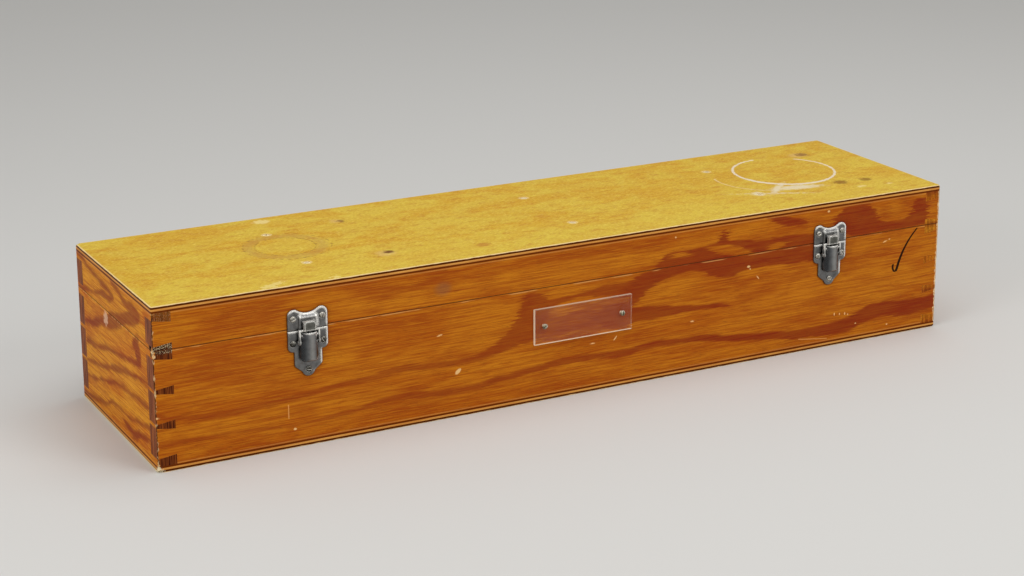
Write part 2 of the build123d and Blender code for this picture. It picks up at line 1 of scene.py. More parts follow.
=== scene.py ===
import bmesh
import bpy
import math
import random
from mathutils import Matrix, Vector, noise


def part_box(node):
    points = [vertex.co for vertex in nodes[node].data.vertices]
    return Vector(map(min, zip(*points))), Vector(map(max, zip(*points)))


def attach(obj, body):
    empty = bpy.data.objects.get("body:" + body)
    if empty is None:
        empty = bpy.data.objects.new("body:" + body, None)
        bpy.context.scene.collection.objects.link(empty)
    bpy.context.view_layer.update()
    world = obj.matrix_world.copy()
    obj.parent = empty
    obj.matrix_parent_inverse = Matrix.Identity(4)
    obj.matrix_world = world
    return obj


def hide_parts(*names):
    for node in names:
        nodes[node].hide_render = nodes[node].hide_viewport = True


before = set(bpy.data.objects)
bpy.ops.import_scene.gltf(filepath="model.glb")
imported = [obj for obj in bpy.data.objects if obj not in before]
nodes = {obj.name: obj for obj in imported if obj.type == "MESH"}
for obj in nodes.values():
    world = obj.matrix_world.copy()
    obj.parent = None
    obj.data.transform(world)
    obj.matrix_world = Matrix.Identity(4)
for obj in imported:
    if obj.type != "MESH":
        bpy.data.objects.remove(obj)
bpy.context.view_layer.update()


# Front boards
# One wide softwood board, glued up with the whole box and then sawn apart into base and lid.
# Orange shellac brings out its flat-sawn figure, which runs on across the saw cut.

MM = 0.001
half_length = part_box("bottom_panel")[1].x / MM
half_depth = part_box("bottom_panel")[1].y / MM
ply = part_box("bottom_panel")[1].z / MM
case_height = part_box("lid_top_panel")[1].z / MM
board = half_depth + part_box("base_front_board")[1].y / MM
parting = (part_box("base_front_board")[1].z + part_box("lid_front_board")[0].z) / 2 / MM


def colour(code):
    """A colour written as it looks, such as b8691a, as the shader's linear values."""
    shares = [int(code[place:place + 2], 16) / 255 for place in (0, 2, 4)]
    linear = [share / 12.92 if share <= 0.04045 else ((share + 0.055) / 1.055) ** 2.4 for share in shares]
    return (*linear, 1.0)


class Measure:
    """A number that varies over a surface. Sums and products of measures become shader nodes."""

    def __init__(self, finish, socket):
        self.finish = finish
        self.socket = socket

    def __add__(self, other):
        return self.finish.math("ADD", self, other)

    def __sub__(self, other):
        return self.finish.math("SUBTRACT", self, other)

    def __rsub__(self, other):
        return self.finish.math("SUBTRACT", other, self)

    def __mul__(self, other):
        return self.finish.math("MULTIPLY", self, other)

    def __truediv__(self, other):
        return self.finish.math("DIVIDE", self, other)

    def __neg__(self):
        return self.finish.math("MULTIPLY", self, -1.0)

    def __abs__(self):
        return self.finish.math("ABSOLUTE", self)

    def root(self):
        return self.finish.math("SQRT", self)

    def most(self, other):
        return self.finish.math("MAXIMUM", self, other)

    def least(self, other):
        return self.finish.math("MINIMUM", self, other)

    def rise(self, low, high):
        """0 up to low, 1 from high, and smooth between them; low may be the larger."""
        node = self.finish.node("ShaderNodeMapRange", interpolation_type="SMOOTHSTEP")
        self.finish.connect(self, node.inputs[0])
        node.inputs[1].default_value = low
        node.inputs[2].default_value = high
        return Measure(self.finish, node.outputs[0])


def most_of(measures):
    """The largest of several measures, point by point."""
    largest, *others = measures
    for other in others:
        largest = largest.most(other)
    return largest


class Finish:
    """A procedural finish. Places in it are millimetres in the case's own frame."""

    def __init__(self, name, roughness, specular=0.5):
        self.material = bpy.data.materials.new(name)
        self.material.use_nodes = True
        self.tree = self.material.node_tree
        self.shader = self.tree.nodes["Principled BSDF"]
        self.paint("Roughness", roughness)
        self.paint("Specular IOR Level", specular)
        source = self.node("ShaderNodeTexCoord")
        scaled = self.node("ShaderNodeVectorMath", operation="SCALE")
        self.connect(source.outputs["Object"], scaled.inputs[0])
        scaled.inputs["Scale"].default_value = 1 / MM
        self.place = scaled.outputs[0]
        self.x, self.y, self.z = self.parts(self.place)
        self.facing_x, self.facing_y, self.facing_z = self.parts(source.outputs["Normal"])
        self.to_end = half_length - abs(self.x)
        self.to_side = half_depth - abs(self.y)

    def node(self, kind, **settings):
        made = self.tree.nodes.new(kind)
        for name, value in settings.items():
            setattr(made, name, value)
        return made

    def connect(self, value, socket):
        if isinstance(value, Measure):
            value = value.socket
        if isinstance(value, bpy.types.NodeSocket):
            self.tree.links.new(value, socket)
        else:
            socket.default_value = value

    def math(self, operation, *values):
        node = self.node("ShaderNodeMath", operation=operation)
        for value, socket in zip(values, node.inputs):
            self.connect(value, socket)
        return Measure(self, node.outputs[0])

    def parts(self, vector):
        node = self.node("ShaderNodeSeparateXYZ")
        self.connect(vector, node.inputs[0])
        return [Measure(self, output) for output in node.outputs]

    def own_parts(self, direction):
        """The parts of one of the world's directions, along the piece's own X, Y and Z."""
        turned = self.node("ShaderNodeVectorTransform", vector_type="NORMAL", convert_from="WORLD",
                           convert_to="OBJECT")
        self.connect(direction, turned.inputs[0])
        return self.parts(turned.outputs[0])

    def face_flat(self):
        """Takes the way that a face points from the face itself, not from its smoothed shading."""
        geometry = self.node("ShaderNodeNewGeometry")
        self.facing_x, self.facing_y, self.facing_z = self.own_parts(geometry.outputs["True Normal"])

    def point(self, x, y, z):
        node = self.node("ShaderNodeCombineXYZ")
        for value, socket in zip((x, y, z), node.inputs):
            self.connect(value, socket)
        return node.outputs[0]

    def noise(self, size, shift, detail=2.0, warp=0.0, at=None):
        """Smooth noise about 0.5, in grains of about size along X, Y and Z; shift tells noises apart."""
        moved = self.node("ShaderNodeVectorMath", operation="MULTIPLY_ADD")
        self.connect(at or self.place, moved.inputs[0])
        moved.inputs[1].default_value = [1 / length for length in size]
        moved.inputs[2].default_value = (shift, 1.7 * shift, 2.9 * shift)
        node = self.node("ShaderNodeTexNoise")
        self.connect(moved.outputs[0], node.inputs["Vector"])
        node.inputs["Scale"].default_value = 1.0
        node.inputs["Detail"].default_value = detail
        node.inputs["Distortion"].default_value = warp
        return Measure(self, node.outputs["Fac"])

    def curve(self, along, line):
        """A line drawn through (place, height) points, level beyond its two ends."""
        start, end = line[0][0], line[-1][0]
        spare = 1
        low = min(height for place, height in line) - spare
        reach = max(height for place, height in line) + spare - low
        spots = [((place - start) / (end - start), (height - low) / reach) for place, height in line]
        node = self.node("ShaderNodeFloatCurve")
        drawn = node.mapping.curves[0]
        drawn.points[0].location = spots[0]
        drawn.points[1].location = spots[-1]
        for spot in spots[1:-1]:
            drawn.points.new(*spot)
        node.mapping.update()
        self.connect((along - start) / (end - start), node.inputs["Value"])
        return Measure(self, node.outputs[0]) * reach + low

    def oval(self, along, across, half_long, half_wide, lean=0.0):
        """How far inside an oval a point lies, in millimetres; outside it is below 0."""
        wide = across - along * lean
        long = along * (half_wide / half_long)
        return half_wide - (long * long + wide * wide).root()

    def blend(self, amount, under, over):
        node = self.node("ShaderNodeMix", data_type="RGBA")
        self.connect(amount, node.inputs[0])
        self.connect(under, node.inputs[6])
        self.connect(colour(over) if isinstance(over, str) else over, node.inputs[7])
        return node.outputs[2]

    def crevices(self, reach, samples):
        """1 in the open and less in a corner, as far as reach millimetres from what shades it."""
        shaded = self.node("ShaderNodeAmbientOcclusion", samples=samples)
        shaded.inputs["Distance"].default_value = reach * MM
        return Measure(self, shaded.outputs["AO"])

    def paint(self, socket_name, value):
        self.connect(value, self.shader.inputs[socket_name])

    def relief(self, height, depth, arris=0.0):
        """Bump from a measure of 0 to 1, depth millimetres deep, over arrises softened by a radius."""
        bump = self.node("ShaderNodeBump")
        bump.inputs["Strength"].default_value = 1.0
        bump.inputs["Distance"].default_value = depth * MM
        self.connect(height, bump.inputs["Height"])
        self.connect(bump.outputs[0], self.shader.inputs["Normal"])
        if arris:
            soft = self.node("ShaderNodeBevel", samples=6)
            soft.inputs["Radius"].default_value = arris * MM
            self.connect(soft.outputs[0], bump.inputs["Normal"])


class Softwood(Finish):
    """A flat-sawn board, shellacked outside, bare where it was sawn and pale inside the case."""

    def __init__(self, name, lengthways, turned=False, specular=0.06, blur=1.0):
        super().__init__(name, roughness=0.4, specular=specular)
        self.face_flat()
        # Which way the grain runs, how noise sways the drawn figure, and how far its fibres slant.
        if lengthways == "x":
            run, self.depth, facing_run = self.x, self.to_side, self.facing_x
            self.sway, self.swing, slant = (40, 7, 9), 6, 30
        else:
            run, self.depth, facing_run = -self.y, self.to_end, self.facing_y
            self.sway, self.swing, slant = (20, 9, 12), 9, 12
        self.run = -run if turned else run
        self.across = case_height - self.z if turned else self.z
        self.ends = abs(facing_run).rise(0.6, 0.75)
        self.blur = blur
        self.grain_place = self.point(self.run, self.across, self.depth)
        fibres = self.noise((60, 1.1, 1.5), 9.2, detail=3, at=self.grain_place) - 0.5
        self.along = self.run + fibres * slant
        self.fine = self.noise((45, 0.5, 0.6), 1.7, detail=4, at=self.grain_place)
        self.pores = self.noise((7, 0.45, 0.5), 6.4, detail=1, at=self.grain_place)
        # Set for the boards that have them: spots broken out, as (x, y, z, size, colour), pale where bare
        # wood shows and dark as painted shade in the hollows, a measure of how far the end grain is worn,
        # and the X of the fittings that painted shade and grime gather round.
        self.broken = ()
        self.worn = None
        self.fittings = ()

    def streak(self, centre, halves):
        """How far inside a streak of late wood a point lies, in millimetres."""
        return self.curve(self.along, halves) - abs(self.across - self.curve(self.along, centre))

    def between(self, lower, upper):
        """How far inside the patch between two drawn lines, and between their ends, a point lies."""
        low = self.across - self.curve(self.along, lower)
        high = self.curve(self.along, upper) - self.across
        return low.least(high).least(self.along - lower[0][0]).least(lower[-1][0] - self.along)

    def island(self, along, across, half_long, half_wide, lean=0.0):
        """How far inside an oval, drawn out along the fibres, a point lies."""
        return self.oval(self.along - along, self.across - across, half_long, half_wide, lean)

    def islands(self, *spots):
        return most_of(self.island(*spot) for spot in spots)

    def mark(self, along, across, half_long, half_wide, lean=0.0):
        """As island, for what lies on the board and doesn't follow its fibres."""
        return self.oval(self.run - along, self.across - across, half_long, half_wide, lean)

    def figured(self, figure, shades):
        """The shellacked face: its early wood, the late wood drawn over it, and its fibres and pores."""
        strong, faint, glow, strength = figure
        amber, honey, rust, late = shades
        at = self.grain_place
        tooth = (self.noise((16, 0.8, 0.8), 3.1, detail=4, at=at) - 0.5) * 6
        sweep = (self.noise(self.sway, 8.3, detail=3, at=at) - 0.5) * self.swing
        self.hard = (strong + tooth + sweep).rise(-1.3 * self.blur, 1.6 * self.blur)
        soft = (faint + tooth * 2 + sweep * 2).rise(-3.0, 4.0)
        golden = (glow + tooth * 2 + sweep * 2).rise(-5, 6)
        strands = self.noise((26, 1.5, 2), 2.8, detail=3, at=at)
        lines = self.noise((110, 2.2, 3), 4.4, detail=3, at=at)
        broad = self.noise((110, 20, 24), 5.2, detail=3, warp=0.6, at=at)
        ruddy = self.noise((55, 24, 24), 9.7, detail=3, at=at)
        wood = self.blend(broad.rise(0.38, 0.62) * 0.7, colour(amber), honey)
        wood = self.blend(ruddy.rise(0.5, 0.64) * 0.42, wood, rust)
        wood = self.blend(soft * 0.62, wood, rust)
        wood = self.blend(golden * 0.75, wood, honey)
        wood = self.blend(lines.rise(0.46, 0.66) * 0.55, wood, rust)
        wood = self.blend(strands.rise(0.52, 0.66) * 0.48, wood, rust)
        wood = self.blend(strands.rise(0.46, 0.34) * 0.45, wood, honey)
        wood = self.blend(self.fine.rise(0.5, 0.62) * 0.6, wood, rust)
        wood = self.blend(self.fine.rise(0.45, 0.35) * 0.6, wood, honey)
        broken_up = (lines.rise(0.62, 0.38) * 0.25 + 0.75) * (strands.rise(0.66, 0.4) * 0.2 + 0.8)
        wood = self.blend(self.hard * broken_up * strength, wood, late)
        return self.blend(self.pores.rise(0.64, 0.72) * 0.4, wood, "6a2c08")

    def bare_faces(self, wood, end_grain):
        """The pale inner face, the stained end grain, and the faces that the saw left bare."""
        inner = self.depth.rise(board - 1.5, board - 1.0) * (1.0 - self.ends)
        wood = self.blend(inner * 0.72, wood, "d6ad74")
        grimy_and_shaded_edge, clean, share = end_grain
        hatch = self.noise((0.9, 0.9, 30), 2.2, detail=3)
        bands = self.noise((3.2, 3.2, 70), 8.6, detail=2)
        rings = self.blend(hatch.rise(0.4, 0.6), colour(grimy_and_shaded_edge), clean)
        rings = self.blend(bands.rise(0.5, 0.6) * 0.5, rings, "3c1206")
        if self.worn:
            splinters = self.noise((0.9, 0.9, 1.3), 7.3, detail=3)
            rings = self.blend(self.worn * 0.8, rings, "1c0e08")
            rings = self.blend(splinters.rise(0.52, 0.6) * self.worn, rings, "d6c096")
        stained = (1.0 - hatch.rise(0.3, 0.6) * (1 - share)) * (share * 0.6 + 0.4)
        wood = self.blend(self.ends * stained, wood, rings)
        saw = self.noise((1.3, 1.3, 40), 4.4, detail=2)
        sawn = self.blend(saw.rise(0.35, 0.65), colour("c79d63"), "a97d45")
        return self.blend(abs(self.facing_z).rise(0.7, 0.9) * 0.9, wood, sawn)

    def meeting_lines(self, wood):
        """The dark glue lines beside the panels, and the saw cut with its rubbed lower arris."""
        outside = self.depth.rise(3.0, 2.0)
        off_panel = (self.z - ply).least(case_height - ply - self.z)
        wood = self.blend(off_panel.rise(0.5, 0.1) * outside * 0.6, wood, "6a2c04")
        wood = self.blend(abs(off_panel - 1.2).rise(0.9, 0.2) * outside * 0.4, wood, "d99a4e")
        rubbed = self.noise((28, 5, 3), 6.6, detail=4).rise(0.46, 0.6)
        below_cut = abs(self.z - (parting - 1.3)).rise(0.8, 0.2)
        wood = self.blend(below_cut * outside * rubbed * 0.6, wood, "e6ae66")
        return self.blend(abs(self.z - parting).rise(0.7, 0.3) * 0.7, wood, "5a2406")

    def rubbed_corners(self, wood):
        """Crumbs of pale wood and dirt along the upright corners, and what is broken out of them."""
        to_corner = self.to_end.most(self.to_side)
        crumbs = self.noise((1.6, 1.6, 2.6), 7.7, detail=4)
        right_end = self.x.rise(400, 440)
        bright = self.noise((5, 5, 7), 2.9, detail=4).rise(0.5, 0.62) * 0.8 + right_end * 0.55 + 0.05
        pale = (to_corner - crumbs * (right_end * 2 + 2.8)).rise(0.2, -0.6)
        dirt = (to_corner - crumbs * 1.9).rise(0.1, -0.3)
        wood = self.blend(pale * bright, wood, "ecca94")
        wood = self.blend(dirt * (0.9 - bright * 0.8), wood, "30150a")
        for x, y, z, size, shade in self.broken:
            away_x, away_y, away_z = self.x - x, self.y - y, self.z - z
            away = (away_x * away_x + away_y * away_y + away_z * away_z).root() + (crumbs - 0.5) * 6
            wood = self.blend((size - away).rise(-0.2, 0.5) * 0.85, wood, shade)
        return wood

    def shellac(self, figure, shades, end_grain, marks=()):
        """Colour, gloss and relief of the board, from its late wood and the marks on its face."""
        wood = self.figured(figure, shades)
        wood = self.bare_faces(wood, end_grain)
        wood = self.meeting_lines(wood)
        wood = self.rubbed_corners(wood)
        for amount, shade in marks:
            wood = self.blend(amount, wood, shade)
        # Painted shade round the latches, with some grime: the board darkens within 6 mm of what stands
        # over it, as their cast shadow would.
        if self.fittings:
            near_one = most_of(-abs(self.x - x) for x in self.fittings).rise(-28, -26)
            grime_and_painted_shade = self.crevices(6, samples=4).rise(0.92, 0.6) * near_one
            wood = self.blend(grime_and_painted_shade * 0.75, wood, "240e04")
        self.paint("Base Color", wood)
        self.paint("Roughness", self.fine * 0.25 + 0.32)
        self.relief(self.fine * 0.6 + self.hard * 0.3 - self.pores.rise(0.62, 0.75) * 0.7, 0.1, arris=0.5)


def dress(name, finish, arris=0.0):
    """Gives a CAD node its finish, and arrises broken by a little where a width is given."""
    piece = nodes[name]
    piece.data.materials.clear()
    piece.data.materials.append(finish.material)
    if not arris:
        return
    weld = piece.modifiers.new("weld", "WELD")
    weld.merge_threshold = 1e-6
    broken = piece.modifiers.new("arris", "BEVEL")
    broken.width = arris * MM
    broken.segments = 2
    broken.limit_method = "ANGLE"
    broken.angle_limit = math.radians(35)
    broken.use_clamp_overlap = False
    normals = piece.modifiers.new("normals", "WEIGHTED_NORMAL")
    normals.keep_sharp = True


def front_figure(wood):
    """The front board's strong and faint late wood and golden patches, as millimetres inside them, and
    how dark the strong late wood is."""
    middle = wood.streak(
        [(-457, 56.5), (-430, 51), (-402, 48.2), (-347, 49.6), (-320, 51), (-292, 53.7), (-265, 56.5),
         (-237, 57.9), (-215, 61.2), (-199, 62), (-186, 60.6), (-168, 59.2), (-141, 57.9), (-113, 60.5),
         (-94, 66.5), (-80, 75), (-70, 86), (-60, 92), (-50, 94), (-42, 97), (-30, 104), (0, 107),
         (27, 107), (47, 105), (70, 104)],
        [(-457, 3), (-320, 3.4), (-265, 3), (-199, 4.2), (-150, 3), (-113, 4.6), (-94, 7), (-80, 12),
         (-70, 19), (-60, 25), (-50, 23), (-42, 17), (-30, 4), (0, 2.5), (20, 5), (50, 8), (72, 6),
         (80, -6)])
    low = wood.streak(
        [(-457, 26.2), (-402, 27.6), (-347, 24.9), (-320, 23.5), (-265, 26.2), (-237, 29), (-210, 33.1),
         (-182, 30.4), (-127, 28.4), (-100, 31.7), (-45, 35.9), (-17, 38.6), (27, 37.2), (55, 35.9),
         (82, 38.6), (110, 38), (165, 33.1), (192, 29), (247, 23.5), (302, 19.4), (330, 20.8),
         (357, 27.6), (385, 31.8), (412, 29), (457, 31)],
        [(-457, 2), (-300, 2), (-180, 3.4), (-45, 4), (110, 3.6), (220, 4.5), (302, 6), (357, 9), (400, 9),
         (457, 8)])
    arch = wood.between(
        [(56, 84), (69, 89.5), (80, 100.5), (96, 107.4), (115, 111.5), (132, 112.9), (143, 111.5),
         (159, 103.2), (181, 99.1), (203, 104.6), (220, 105.2), (256, 101.9), (300, 102.5)],
        [(56, 96), (69, 118), (80, 121), (92, 127), (104, 137.1), (121, 137.6), (140, 137), (165, 140.4),
         (173, 152.7), (181, 140.4), (198, 137.6), (220, 133.5), (247, 134.9), (300, 131)])
    for spot in ((121, 132, 11, 2.8), (185, 128, 26, 5, -0.22), (242, 124.7, 10, 3)):
        arch = arch.least(-wood.island(*spot))
    beside_plate = wood.streak(
        [(10, 78), (60, 76.5), (82, 75), (110, 73), (137, 71.4), (190, 67)],
        [(6, -4), (20, 6), (34, 14), (50, 15), (62, 9), (82, 7.5), (110, 5.5), (137, 3), (176, 1.5),
         (190, -4)])
    under_lid = wood.between(
        [(315, 137), (330, 128), (345, 118), (441, 118)],
        [(315, 138), (322, 152), (335, 157), (352, 157), (368, 150), (376, 138), (395, 132), (412, 134),
         (420, 146), (428, 154), (437, 153), (441, 130)]).least(wood.z - parting)
    lid_patch = wood.streak([(226, 157.5), (245, 153.5), (262, 149.5), (282, 146)],
                            [(222, -3), (232, 2.4), (248, 5), (264, 4.6), (276, 2), (286, -4)])
    behind_plate = wood.island(-14, 76, 46, 15).least(-wood.island(-21, 92, 13, 5) + 1).least(0.4)
    strong = most_of((middle, low, arch, beside_plate, behind_plate, under_lid, lid_patch))
    lid_streak = wood.streak(
        [(-325, 159), (-265, 157), (-223, 148.6), (-182, 144.5), (-160, 150), (-120, 156)],
        [(-325, 3), (-265, 5), (-223, 5), (-182, 4), (-160, 3), (-120, 0)])
    faint = lid_streak.most(wood.islands(
        (-392, 95, 52, 11), (-358, 143, 44, 14), (-163, 157, 16, 8), (-63, 118, 7, 11), (8, 82, 62, 20),
        (75, 104, 30, 10, 0.2), (10, 152, 66, 5), (-50, 13, 22, 3), (0, 10, 60, 2.5), (-120, 8, 60, 2),
        (400, 62, 40, 2.5), (440, 24, 40, 12), (393, 142, 18, 8), (170, 150, 30, 4), (395, 95, 30, 3),
        (-230, 110, 40, 4), (-340, 8, 90, 3)))
    glow = wood.islands(
        (-438, 141, 24, 15), (-252, 133, 24, 11), (-205, 129, 26, 8), (-267, 86, 20, 14), (-390, 68, 46, 7),
        (-378, 36, 44, 6), (-240, 40, 42, 7), (-115, 92, 42, 27), (-75, 50, 62, 9), (0, 137, 130, 9),
        (-20, 93, 11, 4), (-22, 112, 22, 6), (108, 96, 38, 12), (10, 24, 40, 7), (225, 47, 60, 9),
        (376, 66, 58, 24), (375, 110, 46, 7), (190, 148, 40, 6), (112, 15, 60, 6), (395, 145, 10, 9))
    strength = wood.curve(
        wood.along, [(-457, 0.5), (-200, 0.6), (-90, 0.68), (40, 0.75), (120, 0.86), (457, 0.86)])
    return strong, faint, glow, strength


orange_shellac = ("b45f0e", "cc7e18", "9a420c", "82200e")
tail_ends = ("6a2a10", "a45c2a", 1.0)
front = Softwood("shellacked_front_board", "x")
latches = [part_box(side + "_latch_base_plate") for side in ("left", "right")]
front.fittings = [(low.x + high.x) / 2 / MM for low, high in latches]
stroke = front.curve(front.z, [(73, 400), (76, 401.5), (85, 404.5), (102, 413), (119, 427)])
half_stroke = (front.z - 60) * -0.014 + 2.1
pen = (half_stroke - abs(front.x - stroke)).least(front.z - 73).least(119.6 - front.z)
hook = 1.4 - abs(front.x - front.curve(front.z, [(72.5, 399.5), (75, 397), (78, 396), (82, 396.5)]))
pen = pen.most(hook.least(front.z - 72.6).least(82 - front.z)).rise(-0.25, 0.35)
chips = most_of(front.mark(*spot) for spot in (
    (-141, 48.2, 3.4, 2.4, 0.5), (-161, 89.5, 3, 0.8, 0.2), (205, 107.3, 2, 1.3), (207, 104.4, 1, 0.8),
    (217, 93.6, 1.6, 1, -1), (384, 110, 2.6, 0.8, 0.3), (390, 112, 1.2, 0.7), (319, 36, 0.7, 1.6),
    (326, 35, 0.7, 1.3), (333, 34.5, 0.8, 1.5), (337, 33, 0.7, 1), (-458, 55, 4, 1.1), (391, 13, 1.4, 0.8),
    (14, 52.3, 3, 0.7), (41, 53.7, 2, 1.2, 1), (135, 57, 2.2, 0.8), (307, 154.7, 1.6, 1.2),
    (113, 152.7, 1, 0.9), (-317.5, 19.3, 1.6, 1.2), (348, 21, 1, 0.8)))
scratch = (0.6 - abs(front.x + 323.8)).least(front.z - 31).least(45.4 - front.z)
scrape = 0.5 - abs(front.z - front.curve(front.x, [(272, 14.5), (290, 12), (310, 9.5)]))
scrape = scrape.least(front.x - 272).least(310 - front.x)
smudge = front.mark(-156.5, 137.5, 9, 7).rise(-3, 4)
front_face = front.facing_y.rise(-0.6, -0.8)
ragged = (front.noise((0.9, 0.9, 0.9), 3.9) - 0.5) * 1.6
front.shellac(
    front_figure(front), orange_shellac, tail_ends,
    marks=(
        (smudge * front_face * 0.3, "6d5a48"),
        ((chips + ragged).rise(-0.3, 0.5) * front_face * 0.9, "f2c684"),
        ((scratch.most(scrape) + ragged * 0.4).rise(-0.2, 0.3) * front_face * 0.7, "e6a45c"),
        (pen * front_face * 0.96, "120803")))
for name in ("base_front_board", "lid_front_board"):
    dress(name, front)


# Back boards
# The front board's twin, from the same plank with its face turned round, cut apart in the same way.
# It has the same shellac, without the marks of use.

back = Softwood("shellacked_back_board", "x", turned=True)
back.shellac(front_figure(back), orange_shellac, tail_ends)
for name in ("base_back_board", "lid_back_board"):
    dress(name, back)


# End boards
# Two short softwood boards whose pins fill the gaps between the front and back boards' tails.
# The figure climbs to the front in leaning flames, and the corners are rubbed through the shellac.

def end_figure(wood):
    """The late wood of an end board, as millimetres inside it. Its places count from mid-depth."""
    bands = (
        ([(-114, 121), (-74, 127.5), (-52, 131), (-34, 136), (-13, 137), (2, 141)],
         [(-114, 2.6), (-52, 2.6), (-20, 5), (0, 3), (5, -4)]),
        ([(-110, 159), (-95, 156), (-61, 149.5), (-34, 147), (3, 141)],
         [(-110, 3), (-61, 3), (-20, 4), (0, 3), (5, -4)]),
        ([(-97, 90), (-71, 95), (-47, 103), (-28, 108), (-13, 115), (9, 121), (27, 127), (40, 132),
          (59, 138), (80, 142)],
         [(-102, -4), (-97, 3), (-71, 4), (-28, 5.5), (0, 9), (27, 7), (59, 8), (76, 5), (84, -4)]),
        ([(0, 157), (24, 152), (42, 147), (59, 147), (82, 145)],
         [(-6, -3), (0, 3), (42, 4), (59, 6), (76, 5), (84, -3)]),
        ([(-92, 69), (-61, 73), (-34, 79), (-6, 84), (22, 88), (40, 91), (61, 93.5), (78, 98)],
         [(-97, -3), (-92, 4), (-61, 3), (22, 2.4), (61, 2.6), (74, 4), (82, -3)]),
        ([(-106, 46), (-80, 51), (-52, 55), (-24, 62), (-2, 68), (13, 71.5), (31, 75), (50, 77), (68, 81),
          (96, 84)],
         [(-117, 2), (-52, 2.8), (0, 4), (31, 3), (68, 2.4), (96, 3)]),
        ([(-95, 31), (-71, 35), (-52, 40), (-24, 46), (-6, 51), (22, 55), (50, 57), (92, 59)],
         [(-117, 1.5), (-52, 2.2), (0, 2.5), (50, 2.6), (80, 3.5), (96, 2)]),
        ([(-97, 9), (-61, 15), (-34, 20), (-15, 27.5), (13, 29), (40, 29), (59, 33), (87, 37)],
         [(-117, 4), (-61, 3.5), (-15, 3), (40, 2), (87, 2.4)]),
        ([(22, 19), (50, 16.5), (68, 22), (96, 26)], [(12, -3), (22, 3.5), (50, 5), (75, 2.4), (96, 2)]))
    inside = most_of(wood.streak(centre, halves) for centre, halves in bands)
    return inside.most(wood.islands(
        (67, 115, 11, 8, 0.5), (72, 106, 9, 11), (66, 144, 17, 7), (-5, 113, 30, 7, 0.3)))


end_shellac = ("cc740e", "e49e24", "aa480c", "80280e")
pale_chip, hollow_shade = "e9c48c", "120804"
corner_x, corner_y = -half_length, -half_depth
for name, turned, pin_ends, stain in (
        ("left", False, ("42190a", "86441a"), 0.88), ("right", True, ("5a240e", "b06a24"), 0.42)):
    end = Softwood("shellacked_" + name + "_end", "y", turned, specular=0.035, blur=1.9)
    if name == "left":
        # The black spots are painted shade in the hollows broken out of the corner; the pale ones are bare
        # wood.
        end.broken = (
            (corner_x, corner_y, parting - 4.5, 2.4, pale_chip),
            (corner_x, corner_y + 3, parting - 1, 2.6, "f0d8a8"),
            (corner_x, corner_y, parting - 9, 1.6, pale_chip),
            (corner_x, corner_y + 6.5, parting + 2.5, 4, hollow_shade),
            (corner_x, corner_y + 5, parting - 5, 2, hollow_shade))
        end.worn = end.z.rise(parting - 5, parting - 1) * 0.8 - end.z.rise(140, 146) * 0.62
        stain = end.z.rise(150, 144) * 0.12 + stain
    late = end_figure(end)
    glow = end.islands(
        (-60, 60, 60, 20, 0.3), (30, 130, 50, 12, 0.4), (20, 65, 70, 10), (-50, 143, 50, 14),
        (30, 147, 40, 8), (60, 48, 40, 12), (-20, 24, 60, 8, 0.15), (70, 128, 22, 10))
    scuff = (end.mark(-26, 112, 7, 8) + (end.noise((3, 4, 4), 1.3, detail=4) - 0.5) * 14).rise(-1, 3)
    end.shellac(
        (late, late + 2, glow + 3, 0.85), end_shellac, (*pin_ends, stain),
        marks=((scuff * abs(end.facing_x).rise(0.6, 0.8) * 0.75, "e2b696"),))
    dress("base_" + name + "_end", end)
    dress("lid_" + name + "_end", end)


def break_off(node, place, half_sizes, seed):
    """Breaks a splinter out of a CAD node, in the shape of a rough lump that itself never shows."""
    random.seed(seed)
    form = bmesh.new()
    bmesh.ops.create_icosphere(form, subdivisions=2, radius=1.0)
    low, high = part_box(node)
    proud = 0.05 * MM
    piece = nodes[node]
    for vertex in form.verts:
        vertex.co *= random.uniform(0.75, 1.2)
        for axis in range(3):
            spot = (place[axis] + half_sizes[axis] * vertex.co[axis]) * MM
            vertex.co[axis] = min(max(spot, low[axis] - proud), high[axis] + proud)
    lump_mesh = bpy.data.meshes.new(node + "_splinter")
    form.to_mesh(lump_mesh)
    form.free()
    lump = bpy.data.objects.new(lump_mesh.name, lump_mesh)
    bpy.context.scene.collection.objects.link(lump)
    lump.parent = piece
    lump.hide_render = True
    if "weld" not in piece.modifiers:
        piece.modifiers.new("weld", "WELD").merge_threshold = 1e-6
    cut = piece.modifiers.new("splinter", "BOOLEAN")
    cut.operation = "DIFFERENCE"
    cut.solver = "EXACT"
    cut.object = lump


break_off("lid_left_end", (corner_x, corner_y + 5.5, parting + 3), (2.6, 2.6, 2.6), 1)
break_off("base_left_end", (corner_x, corner_y + 5, parting - 3.4), (1.8, 1.8, 1.5), 2)
break_off("base_left_end", (corner_x, corner_y, parting - 4), (1.8, 1.8, 5.5), 3)
break_off("lid_left_end", (corner_x, corner_y, parting + 1.5), (1.4, 1.6, 2.8), 4)


# Plywood panels
# Quarter-inch plywood covers the frame above and below, glued on flush and cleaned off with it.
# Its yellow varnish is scuffed along the arris, and the plies show as lines around the edge.

